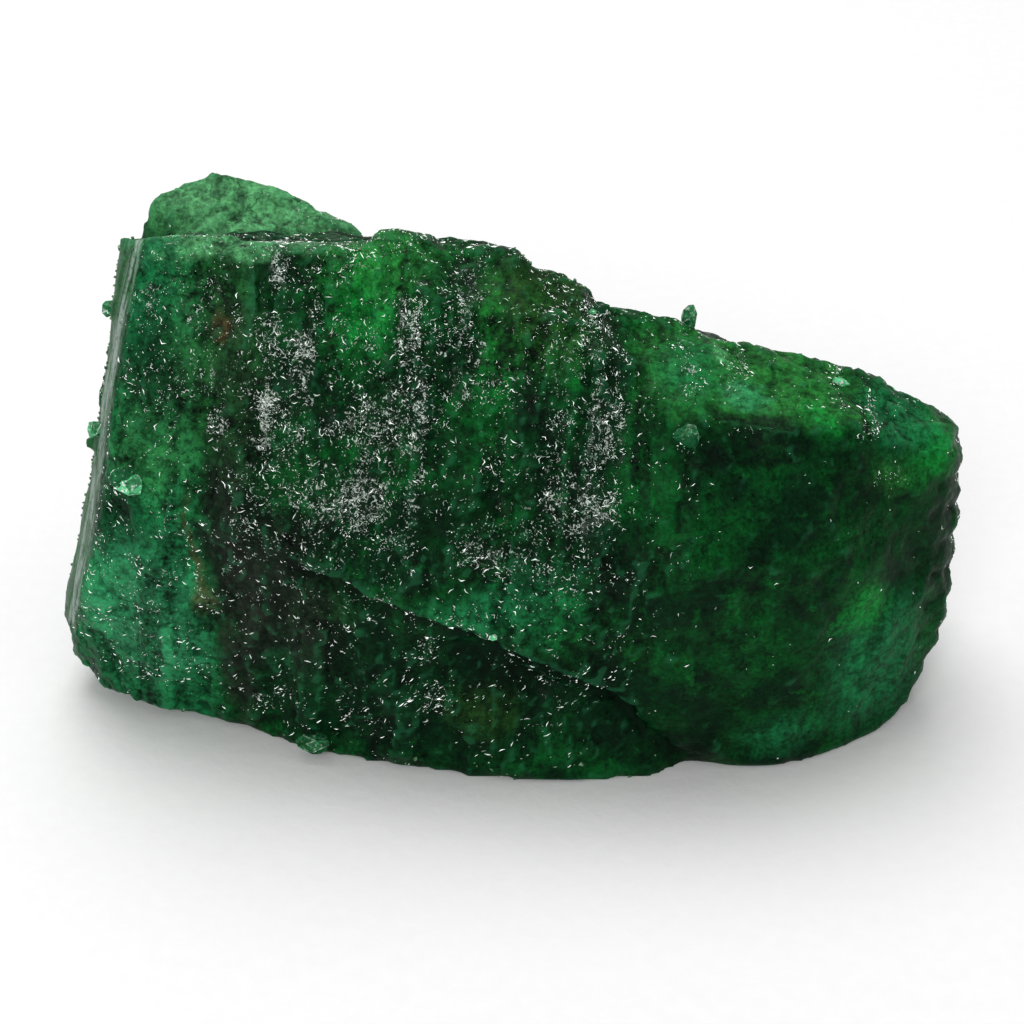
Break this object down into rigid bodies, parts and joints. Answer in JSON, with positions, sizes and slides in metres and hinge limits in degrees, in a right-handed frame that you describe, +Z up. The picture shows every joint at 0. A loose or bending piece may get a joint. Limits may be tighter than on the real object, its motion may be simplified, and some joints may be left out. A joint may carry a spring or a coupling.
{
  "type": "raw emerald crystal",
  "caption": "Rough green beryl crystal, a stubby broken prism with growth columns and a bevelled edge, that lies on a flat parting face.",
  "frame": {"origin": "on the flat face that the stone rests on, under the middle of the stone", "axes": "+X along the stone's length, from the tall end with the bevelled edge to the low round end; -Y is the broad prism face; +Z up"},
  "size_m": [0.036, 0.0194, 0.0209],
  "materials": {
    "emerald": "cloudy deep green beryl with a wet-looking gloss, dark schist-stained bands, frosty glinting grain and lighter blue-green at the bevelled end"
  },
  "bodies": {
    "root": {"emerald_crystal": "emerald"}
  },
  "joints": []
}
